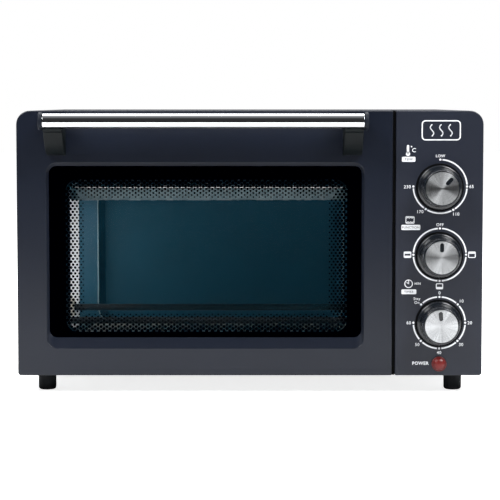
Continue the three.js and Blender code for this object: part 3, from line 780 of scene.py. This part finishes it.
def knob(which):
    x, z = DIALS[which].x, DIALS[which].z
    body = which + "_dial"
    face = Box(which + "_knob_cap").d0
    profile = [(0, -13), (3.3, -13), (3.3, -1), (18.6, -1)] + arc(18.6, -1, 19, -1.4, -1, 3)
    profile += [(19.2, -1.6), (19.3, -2.0)] + arc(19.3, -2.0, 17.8, -3.7, 1, 6)
    profile += [(17.3, -3.85), (17.0, -4.6), (16.8, -8), (16.5, -12), (16.2, -16), (16.0, face + 2.4)]
    profile += arc(16.0, face + 2.4, 14.95, face, 1, 6)
    profile += [(14.6, face + 0.02), (14.5, face + 0.15), (14.5, face + 1.4), (0, face + 1.4)]
    piece(which + "_knob_body", lathe(profile, (x, 0, z), "y", 128), KNOB_BLACK, body,
          [which + "_knob"], 38)
    slot = rounded(-1.75, 1.75, 4.6, 12.6, 1.74, 6)
    cap = plate([circle(0, 0, 14.2, 96), slot], face, face + 1.1, 0.12)
    cap.transform(Matrix.Translation((x, 0, z)) @ Matrix.Rotation(math.radians(POINTERS[which]), 4, "Y"))
    piece(which + "_knob_disc", cap, SPUN, body, [which + "_knob_cap"])
    # A pure black ring on the panel round the foot of each knob: painted shade for the knob's contact shadow
    # and the shadow gap round it.
    ring = [(17, 0.3), (17, -0.25), (20.5, -0.25), (20.8, 0), (20.8, 0.3), (17, 0.3)]
    piece(which + "_dial_shade_ring", lathe(ring, (x, 0, z), "y", 96), SHADE_BLACK, "body")
    shaft = Box(which + "_shaft")
    rod = lathe([(0, shaft.d0), (2.6, shaft.d0), (3, shaft.d0 + 0.4), (3, shaft.d1 - 0.4),
                 (2.6, shaft.d1), (0, shaft.d1)], (x, 0, z), "y", 32)
    piece(which + "_knob_shaft", rod, BRIGHT_STEEL, body, [which + "_shaft"])


def lens():
    r = (LENS.x1 - LENS.x0) / 2
    profile = [(0, 14), (3.6, 14), (3.6, 3), (4.9, 3), (4.9, -0.3), (r - 0.3, -0.3)]
    profile += arc(r - 0.3, -0.3, r, -0.6, -1, 3) + [(r, -1.6)] + arc(r, -1.6, r - 0.7, -2.4, 1, 4)
    profile += [(r - 0.9, -2.4), (r - 1.0, -2.2), (r - 1.15, -2.2)]
    profile += [((r - 1.15) * math.cos(a), -2.2 - 2.8 * math.sin(a)) for a in
                (math.pi / 2 * i / 8 for i in range(1, 8))] + [(0, -5)]
    piece("pilot_lens_dome", lathe(profile, (LENS.x, 0, LENS.z), "y", 64), RED, "body",
          ["pilot_lens"], 30)


# ---------- printed dials ----------
class Print:
    """White print on the panel, all in one thin mesh."""

    def __init__(self, face=-0.02, thick=0.08):
        self.parts = []
        self.d0 = face - thick
        self.d1 = face

    def area(self, loops):
        self.parts.append(plate(loops, self.d0, self.d1))

    def dot(self, x, z, r):
        self.area([circle(x, z, r, 20)])

    def box(self, x, z, wide, tall, line=0.0, radius=0.6):
        w, h = wide / 2, tall / 2
        loops = [rounded(x - w, x + w, z - h, z + h, radius, 4)]
        if line:
            loops.append(rounded(x - w + line, x + w - line, z - h + line, z + h - line,
                                 max(radius - line, 0.1), 4))
        self.area(loops)

    def arc(self, x, z, r, start, end, line):
        """Angles are clockwise from the top."""
        steps = max(4, int(abs(end - start) / 4))
        sweep = [math.radians(90 - start - (end - start) * i / steps) for i in range(steps + 1)]
        outer = [(x + (r + line / 2) * math.cos(a), z + (r + line / 2) * math.sin(a)) for a in sweep]
        inner = [(x + (r - line / 2) * math.cos(a), z + (r - line / 2) * math.sin(a)) for a in sweep]
        self.area([outer + inner[::-1]])

    def ring(self, x, z, r, marks, gaps, line):
        """Dots at the marks and arcs between them; gaps are those after and before a dot."""
        for mark in marks if marks[-1] - marks[0] < 360 else marks[:-1]:
            a = math.radians(90 - mark)
            self.dot(x + r * math.cos(a), z + r * math.sin(a), 0.95)
        for a, b in zip(marks, marks[1:]):
            self.arc(x, z, r, a + gaps[0], b - gaps[1], line)

    def line(self, points, width):
        """A line of even width with square ends."""
        for (xa, za), (xb, zb) in zip(points, points[1:]):
            along = Vector((xb - xa, zb - za)).normalized() * width / 2
            side = Vector((-along.y, along.x))
            a, b = Vector((xa, za)) - along * 0.4, Vector((xb, zb)) + along * 0.4
            self.area([[tuple(p) for p in (a + side, b + side, b - side, a - side)]])

    def text(self, words, x, z, tall, heavy=0.012):
        """Generic words or numbers, centred; tall is the height of a capital."""
        data = bpy.data.curves.new("words", "FONT")
        data.body = words
        data.size = tall / 0.72
        data.align_x = "CENTER"
        data.offset = heavy * tall
        data.space_character = 1.1
        data.extrude = (self.d1 - self.d0) / 2
        data.resolution_u = 3
        bm = curve_solid(data)
        turn = Matrix.Rotation(math.pi / 2, 4, "X")
        bm.transform(Matrix.Translation((x, (self.d0 + self.d1) / 2, z - tall / 2)) @ turn)
        self.parts.append(bm)


def oven_sign(white, x, z, wide, tall, top, bottom):
    """An oven outline with a heavy bar for each element that is on."""
    white.box(x, z, wide, tall, 0.75, 1.0)
    if top:
        white.box(x, z + tall / 2 - 1.3, wide - 0.9, 1.3, 0, 0.2)
    if bottom:
        white.box(x, z - tall / 2 + 1.3, wide - 0.9, 1.3, 0, 0.2)


def dial_print():
    white = Print()
    x = DIALS["temperature"].x + 0.3
    text = 2.75
    # temperature: low at the top, then up to the hottest at the left
    z = DIALS["temperature"].z + 0.8
    white.ring(x, z, 23.3, [0, 90, 150.5, 212.5, 270], (4.6, 4.2), 1.25)
    white.text("LOW", x, z + 26.6, 2.4)
    white.text("65", x + 27.2, z, text)
    white.text("110", x + 13.8, z - 23.9, text)
    white.text("170", x - 17.4, z - 21.8, text)
    white.text("230", x - 28.5, z - 0.2, text)
    # function: off, then upper, both and lower elements
    z = DIALS["function"].z + 0.8
    white.ring(x, z, 22.9, [0, 90, 180, 270, 360], (4.8, 4.8), 1.3)
    white.text("OFF", x, z + 26.2, 2.5)
    oven_sign(white, x + 28, z, 6.6, 5.6, True, False)
    oven_sign(white, x, z - 27.6, 6.3, 5.2, False, True)
    oven_sign(white, x - 28, z, 6.6, 5.6, True, True)
    # timer: minutes round to the left, and a place that leaves it on
    z = DIALS["timer"].z + 0.5
    marks = list(range(-45, 271, 45))
    white.ring(x, z, 22.6, marks, (5, 5), 1.3)
    for minutes, mark in zip(range(0, 61, 10), marks[1:]):
        a = math.radians(90 - mark)
        far = 26.2 if mark in (0, 180) else 26.6 if mark in (90, 270) else 27.0
        white.text(str(minutes), x + far * math.cos(a), z + far * math.sin(a), text)
    white.text("Stay", x - 19.6, z + 21.2, 2.4)
    white.text("On", x - 19.6, z + 17.8, 2.4)
    white.text("POWER", LENS.x - 16.2, LENS.z + 0.6, 2.8, 0.05)
    left = PANEL.x0 - 1.2
    # temperature sign: a thermometer
    z = DIALS["temperature"].z + 1.2
    white.box(left + 11.6, z + 31.8, 2.1, 7.6, 0, 1.0)
    white.dot(left + 11.6, z + 27.9, 1.9)
    white.dot(left + 14.6, z + 34.2, 0.65)
    white.text("C", left + 16.8, z + 31.2, 3.6)
    white.box(left + 12.2, z + 23.2, 11.8, 4.4, 0, 0.9)
    # function sign: an oven with both elements
    z = DIALS["function"].z + 1.2
    white.box(left + 13.7, z + 29.9, 7.8, 6.4, 0.7, 1.0)
    for sign in (-1, 1):
        base = z + 29.9 + sign * 2.0
        zigzag = [(left + 13.7 - 2.9 + 1.16 * i, base + (0.45 if i % 2 else -0.45)) for i in range(6)]
        white.line(zigzag, 0.75)
    white.box(left + 14.4, z + 23.4, 16.4, 4.6, 0, 0.9)
    # timer sign: a clock
    z = DIALS["timer"].z + 1.2
    white.area([circle(left + 12.8, z + 33.4, 3.7), circle(left + 12.8, z + 33.4, 2.95)])
    white.line([(left + 12.8, z + 33.4), (left + 12.8, z + 36.2)], 0.7)
    white.line([(left + 12.8, z + 33.4), (left + 11.2, z + 34.6)], 0.7)
    white.text("MIN", left + 20.6, z + 33.6, 2.1)
    white.box(left + 13.0, z + 26.4, 13.0, 4.2, 0, 0.9)
    # a plain badge: a rounded plate outline with rising heat
    bx, bz = x + 0.6, PANEL.z1 - 17
    white.box(bx, bz, 34, 17.5, 1.0, 3.4)
    for i in range(3):
        wave = [(bx - 8 + 8 * i + 1.5 * math.sin(t / 10 * TAU), bz - 5 + t) for t in range(11)]
        white.line(wave, 1.0)
    piece("panel_print", joined(white.parts), WHITE_INK, "body")
    dark = Print(-0.1, 0.04)
    dark.text("TEMP", left + 12.2, DIALS["temperature"].z + 24.4, 2.0, 0)
    dark.text("FUNCTION", left + 14.4, DIALS["function"].z + 24.6, 2.0, 0)
    dark.text("TIMER", left + 13.0, DIALS["timer"].z + 27.6, 2.0, 0)
    piece("label_words", joined(dark.parts), PANEL_PAINT, "body")


# ---------- cavity, pan and rack ----------
def tray(name, look, b, rims, slope, node, body, bead):
    """A pressed tray: a rolled rim, sloping walls with soft corners and a flat floor."""
    x0, x1 = b.x0 + rims[0], b.x1 - rims[0]
    d0, d1 = b.d0 + rims[1], b.d1 - rims[1]
    sheet = 0.9

    def plan(inset, radius):
        return rounded(x0 + inset, x1 - inset, d0 + inset, d1 - inset, max(radius - inset, 1))

    def rim(inset, radius):
        return rounded(b.x0 + inset, b.x1 - inset, b.d0 + inset, b.d1 - inset, radius - inset)

    top, low = b.z1, b.z0
    inside = [
        level(rim(0.25, 12), top - 1), level(rim(0, 12), top - 0.6), level(rim(0, 12), top - 0.25),
        level(rim(0.3, 12), top), level(plan(-0.6, 10), top), level(plan(0.1, 10), top - 0.15),
        level(plan(sheet, 10), top - bead), level(plan(slope + sheet - 0.6, 10), low + sheet + 1.6),
        level(plan(slope + sheet + 0.5, 10), low + sheet + 0.3),
        level(plan(slope + sheet + 1.8, 10), low + sheet),
    ]
    outside = [
        level(plan(slope + 1.4, 10), low), level(plan(slope + 0.3, 10), low + 0.35),
        level(plan(slope - 0.3, 10), low + 1.4), level(plan(0, 10), top - 1.2 - bead),
        level(plan(-0.5, 10), top - 1.0),
    ]
    piece(name, loft(outside + inside), look, body, [node], 40)


def wire_rack():
    thick, thin = 2.2, 1.2
    z = RACK.z0 + thick
    x0, x1, d0, d1 = RACK.x0, RACK.x1, RACK.d0, RACK.d1
    loop = [(x, d, z) for x, d in rounded(x0 + thick, x1 - thick, d0 + thick, d1 - thick, 8, 6)]
    parts = [wire(loop, thick, True, 5), wire([(x0 + thick, RACK.d, z - 0.5), (x1 - thick, RACK.d, z - 0.5)],
                                              thick * 0.75)]
    count = 17
    for i in range(1, count + 1):
        x = x0 + thick + (x1 - x0 - 2 * thick) * i / (count + 1)
        high = z + thick - thin - 0.2
        parts.append(wire([(x, d0 + thick, high), (x, d1 - thick, high)], thin, False, 3))
    piece("wire_rack_wires", joined(parts), RACK_CHROME, "rack", ["wire_rack"])


def heaters():
    for place in ("lower_front", "lower_rear", "upper_front", "upper_rear"):
        b = Box("heater_" + place)
        r = (b.z1 - b.z0) / 2
        stud, end = 1.5, 6
        profile = [(0, b.x0), (stud, b.x0 + 0.3), (stud, b.x0 + end), (r - 0.4, b.x0 + end),
                   (r, b.x0 + end + 0.4), (r, b.x1 - end - 0.4), (r - 0.4, b.x1 - end),
                   (stud, b.x1 - end), (stud, b.x1 - 0.3), (0, b.x1)]
        piece("heater_" + place + "_rod", lathe(profile, (0, b.d, b.z), "x", 40), SHEATH, "body",
              ["heater_" + place])
        for side in ("left", "right"):
            bush = Box("bush_" + place + "_" + side)
            s = 1 if side == "right" else -1
            inner = bush.x0 if side == "right" else bush.x1
            profile = [(3.6, 0), (8.4, 0), (9.1, 0.6), (9.2, 3.2), (8.9, 3.7), (6.2, 3.7), (6.2, 11.4),
                       (5.7, 12), (3.6, 12), (3.6, 0)]
            profile = [(radius, inner + s * along) for radius, along in profile]
            piece("bush_" + place + "_" + side + "_ring", lathe(profile, (0, b.d, b.z), "x", 40), CERAMIC,
                  "body", ["bush_" + place + "_" + side])


def springs():
    for side in ("left", "right"):
        b = Box("door_spring_" + side)
        r, thin, turns = 3.4, 0.9, 7
        d0, d1 = b.d0 + thin, b.d1 - thin
        steps = turns * 20
        points = [(b.x + r * math.cos(TAU * turns * i / steps), d0 + (d1 - d0) * i / steps,
                   b.z + r * math.sin(TAU * turns * i / steps)) for i in range(steps + 1)]
        piece("door_spring_" + side + "_coil", wire(points, thin, False, 3), SPRING_STEEL, "body",
              ["door_spring_" + side])


# ---------- shell, feet and small fittings ----------
def feet():
    for place in ("front_left", "front_right", "rear_left", "rear_right"):
        b = Box("foot_" + place)
        top, h = (b.x1 - b.x0) / 2, b.z1 - b.z0
        profile = [(0, 0), (4.4, 0), (4.6, 0.5), (5.2, 0.5), (5.4, 0), (5.8, 0)]
        profile += arc(5.8, 0, top - 0.1, 2.2, -1, 6) + [(top - 0.05, h * 0.6), (top, h - 1.2)]
        profile += arc(top, h - 1.2, top - 0.5, h, 1, 3) + [(0, h)]
        piece("foot_" + place + "_pad", lathe(profile, (b.x, b.d, b.z0), "z", 48), RUBBER, "body",
              ["foot_" + place])


def screw(x, d, z, axis, sign, radius=3.4):
    """A pan-head screw with a cross recess, standing on a face that looks along sign * axis."""
    height = radius * 0.55
    profile = [(0, -0.6), (radius * 0.5, -0.6), (radius * 0.5, 0), (radius - 0.2, 0), (radius, 0.25)]
    profile += [(radius * math.cos(a), 0.25 + (height - 0.25) * math.sin(a)) for a in
                (math.pi / 2 * i / 6 for i in range(1, 6))] + [(0, height)]
    head = lathe([(r, -t) for r, t in profile], (0, 0, 0), "y", 24)
    arm = radius * 0.62
    slots = [block(-arm, arm, -height - 1, -height * 0.45, -0.35, 0.35),
             block(-0.35, 0.35, -height - 1, -height * 0.45, -arm, arm)]
    head = carved(head, slots)
    head.transform(Matrix.Rotation(random.uniform(0, TAU), 4, "Y"))
    turn = {("y", -1): Matrix.Identity(4), ("y", 1): Matrix.Rotation(math.pi, 4, "Z"),
            ("x", 1): Matrix.Rotation(math.pi / 2, 4, "Z"), ("x", -1): Matrix.Rotation(-math.pi / 2, 4, "Z"),
            ("z", -1): Matrix.Rotation(math.pi / 2, 4, "X")}[(axis, sign)]
    head.transform(Matrix.Translation((x, d, z)) @ turn)
    return head


def screws():
    cover, rear = Box("outer_cover"), Box("rear_panel")
    back = 271.0
    parts = []
    for sign, x in ((-1, cover.x0), (1, cover.x1)):
        for d in (40, 145, 252):
            parts.append(screw(x, d, 17.5, "x", sign))
        parts.append(screw(x, 262, 120, "x", sign))
        parts.append(screw(x, 262, 222, "x", sign))
    for x in (rear.x0 + 12, -70, 40, 118, rear.x1 - 12):
        parts.append(screw(x, back, 232, "y", 1, 3.0))
    for x, z in ((rear.x0 + 12, 24), (118, 24), (rear.x1 - 12, 24), (rear.x0 + 12, 128), (rear.x1 - 12, 128)):
        parts.append(screw(x, back, z, "y", 1, 3.0))
    piece("cover_screws", joined(parts), BRIGHT_STEEL, "body", (), 40)


def rear_panel():
    bm = copy_of("rear_panel")
    round_edges(bm, 1.3, 3, 14)
    bmesh.ops.recalc_face_normals(bm, faces=bm.faces)
    for face in bm.faces:
        face.material_index = 1 if face.normal.y < -0.2 else 0
    piece("rear_panel_pressed", bm, [ZINC, BACK_ENAMEL], "body", ["rear_panel"], 50)


def bulge_lines():
    """Lighter lines along the creases where the back panel is pressed out, as seen from inside: wires in a
    lighter enamel that paint the highlights on the crease edges.
    """
    parts = []
    for inset, d in ((0, Box("rear_panel").d0 + 0.1), (4.5, Box("rear_panel").d1 - 1.2)):
        loop = rounded(-156.5 + inset, 96 - inset, 21 + inset, 196 - inset, 20 - inset)
        parts.append(wire([(x, d, z) for x, z in loop], 0.6, True, 2))
    piece("rear_panel_crease_highlights", joined(parts), CREASE_HIGHLIGHT, "body")


def gap_strip():
    """A black strip on the front frame in the gap between door and panel: painted shade for the dark shadow
    in the gap.
    """
    strip = block(DOOR.x1 + 0.2, PANEL.x0 - 0.2, 2.4, Box("front_frame").d0, DOOR.z0 + 0.2, DOOR.z1 - 0.4)
    piece("door_gap_shade_strip", strip, SHADE_BLACK, "body", edge=0.12)


def pan_bead():
    """The bare rolled edge of the pan."""
    r = 1.35
    loop = rounded(PAN.x0 + r + 1, PAN.x1 - r - 1, PAN.d0 + r, PAN.d1 - r, 12)
    bead = wire([(x, d, PAN.z1 + r - 0.1) for x, d in loop], r, True, 5)
    piece("baking_pan_bead", bead, RACK_CHROME, "rack")


def inlet():
    b = Box("cord_inlet")
    profile = [(3.8, b.d0), (8.5, b.d0), (8.5, 269.3), (6.5, 269.3), (6.5, 271.3), (9.1, 271.3), (9.5, 271.8),
               (9.3, 273.2), (8.4, b.d1 - 1)] + arc(8.4, b.d1 - 1, 7.4, b.d1, 1, 4)
    profile += [(4.6, b.d1), (3.8, b.d1 - 0.8), (3.8, b.d0)]
    piece("cord_inlet_bush", lathe(profile, (b.x, 0, b.z), "y", 48), INLET_BLACK, "body",
          ["cord_inlet"])


def shell():
    refined("outer_cover", COVER_PAINT, "body", 0.3)
    refined("base_plate", ZINC, "body", 0.2)
    refined("front_frame", ZINC, "body", 0.2)
    refined("cavity_wall_left", LINING, "body", 0.3)
    refined("cavity_wall_right", LINING, "body", 0.3)
    refined("cavity_ceiling", LINING, "body", 0.2)
    refined("door_liner", DOOR_PAINT, "door", 0.25)
    for side in ("left", "right"):
        refined("hinge_plate_" + side, ZINC, "body", 0.3)
        refined("hinge_pin_" + side, BRIGHT_STEEL, "door", 0.3)
    refined("thermostat", CERAMIC, "body", 0.8)
    refined("function_switch", CASE_BLACK, "body", 0.8)
    refined("timer", ZINC, "body", 0.8)
    refined("timer_bell", BRIGHT_STEEL, "body", 0.3)
    refined("pilot_lamp", BULB, "body", 0.3)
    refined("terminal_block", CERAMIC, "body", 0.5)


door_frame()
door_glass()
glass_print()
handle()
control_panel()
for dial in DIALS:
    knob(dial)
lens()
dial_print()
tray("baking_pan_pressed", PAN_ENAMEL, PAN, (11.8, 3), 2.5, "baking_pan", "rack", 0.9)
tray("crumb_tray_pressed", TRAY_STEEL, Box("crumb_tray"), (1.5, 1.5), 1.5, "crumb_tray",
     "body", 0.6)
wire_rack()
heaters()
springs()
feet()
screws()
rear_panel()
bulge_lines()
pan_bead()
gap_strip()
inlet()
shell()


# ---------- floor, light and camera ----------
def floor():
    """A pale flat floor that reaches far behind."""
    look = Look("pale_floor", [0.8, 0.8, 0.8, 1], 0.75, Emission_Color=[1, 1, 1, 1])
    seen = look.node("ShaderNodeLightPath").outputs["Is Camera Ray"]
    look.link(look.math("MULTIPLY", seen, 0.8), look.shader.inputs["Emission Strength"])
    look.mottle(3, 3, 0.3, 0.4, 0.8, [0.77, 0.77, 0.78, 1])
    look.rough(look.noise(40, 2), 0.7, 0.85)
    bm = bmesh.new()
    verts = [bm.verts.new(p) for p in ((-6, -0.82, 0), (6, -0.82, 0), (6, 7, 0), (-6, 7, 0))]
    bm.faces.new(verts)
    obj = raw_object(bm, "floor")
    obj.data.materials.append(look.material)


def world():
    """White all round, apart from the dim studio behind the camera."""
    scene = bpy.context.scene
    scene.world = bpy.data.worlds.new("studio")
    scene.world.use_nodes = True
    tree = scene.world.node_tree
    tree.nodes.clear()

    def node(kind, **settings):
        n = tree.nodes.new(kind)
        for key, value in settings.items():
            setattr(n, key, value)
        return n

    direction = node("ShaderNodeSeparateXYZ")
    tree.links.new(node("ShaderNodeTexCoord").outputs["Generated"], direction.inputs[0])

    def by_height(stops):
        """Brightness against the sine of the elevation."""
        ramp = node("ShaderNodeValToRGB")
        elements = ramp.color_ramp.elements
        while len(elements) < len(stops):
            elements.new(0.5)
        for element, (place, level) in zip(elements, stops):
            element.position = place
            element.color = (level, level * 1.01, level * 1.04, 1)
        tree.links.new(direction.outputs["Z"], ramp.inputs["Fac"])
        return ramp.outputs["Color"]

    front = by_height([(0.0, 0.025), (0.6, 0.035), (0.82, 0.13), (0.96, 0.32), (1.0, 0.5)])
    back = by_height([(0.0, 0.1), (0.3, 0.2), (0.6, 0.5), (1.0, 0.5)])
    side = node("ShaderNodeMapRange", interpolation_type="SMOOTHSTEP")
    side.inputs["From Min"].default_value = -0.3
    side.inputs["From Max"].default_value = 0.3
    tree.links.new(direction.outputs["Y"], side.inputs["Value"])
    mix = node("ShaderNodeMix", data_type="RGBA")
    tree.links.new(side.outputs["Result"], mix.inputs["Factor"])
    tree.links.new(front, mix.inputs["A"])
    tree.links.new(back, mix.inputs["B"])
    light = node("ShaderNodeBackground")
    tree.links.new(mix.outputs["Result"], light.inputs["Color"])
    seen = node("ShaderNodeBackground")
    seen.inputs["Color"].default_value = (1, 1, 1, 1)
    switch = node("ShaderNodeMixShader")
    tree.links.new(node("ShaderNodeLightPath").outputs["Is Camera Ray"], switch.inputs["Fac"])
    tree.links.new(light.outputs[0], switch.inputs[1])
    tree.links.new(seen.outputs[0], switch.inputs[2])
    tree.links.new(switch.outputs[0], node("ShaderNodeOutputWorld").inputs["Surface"])


def softbox(name, place, aim, wide, tall, power):
    data = bpy.data.lights.new(name, "AREA")
    data.shape = "RECTANGLE"
    data.size, data.size_y = wide, tall
    data.energy = power
    obj = bpy.data.objects.new(name, data)
    bpy.context.scene.collection.objects.link(obj)
    obj.location = place
    obj.rotation_mode = "QUATERNION"
    obj.rotation_quaternion = (Vector(aim) - Vector(place)).to_track_quat("-Z", "Y")
    return obj


def studio():
    aim = (0, -0.1, 0.12)
    softbox("softbox_top", (0.0, 0.6, 1.65), (0, -0.05, 0), 2.4, 0.9, 40)
    softbox("softbox_left", (-1.05, -1.15, 1.45), aim, 0.75, 0.75, 30)
    softbox("softbox_right", (1.15, -1.15, 1.65), aim, 0.85, 0.85, 50)
    inside = softbox("softbox_inside", (0.4, -1.2, 0.22), (-0.176, 0.1, 0.12), 0.12, 0.3, 85)
    walls = bpy.data.collections.new("cavity_walls")
    walls.objects.link(bpy.data.objects["cavity_wall_left_fine"])
    inside.light_linking.receiver_collection = walls


def camera():
    """Level with the top of the oven, a metre and a half in front of it."""
    height, away, pitch = 0.25 + LIFT, 1.4527, 3.5
    data = bpy.data.cameras.new("camera")
    data.sensor_width = 36
    data.lens = 120.7
    data.shift_y = -0.0887
    data.clip_start, data.clip_end = 0.05, 50
    obj = bpy.data.objects.new("camera", data)
    bpy.context.scene.collection.objects.link(obj)
    obj.location = (0.0001, FRONT - away, height)
    obj.rotation_euler = (math.radians(90 - pitch), 0, 0)
    bpy.context.scene.camera = obj


floor()
world()
studio()
camera()
bpy.context.scene.view_settings.view_transform = "Standard"
bpy.context.scene.view_settings.look = "None"

bpy.context.view_layer.update()
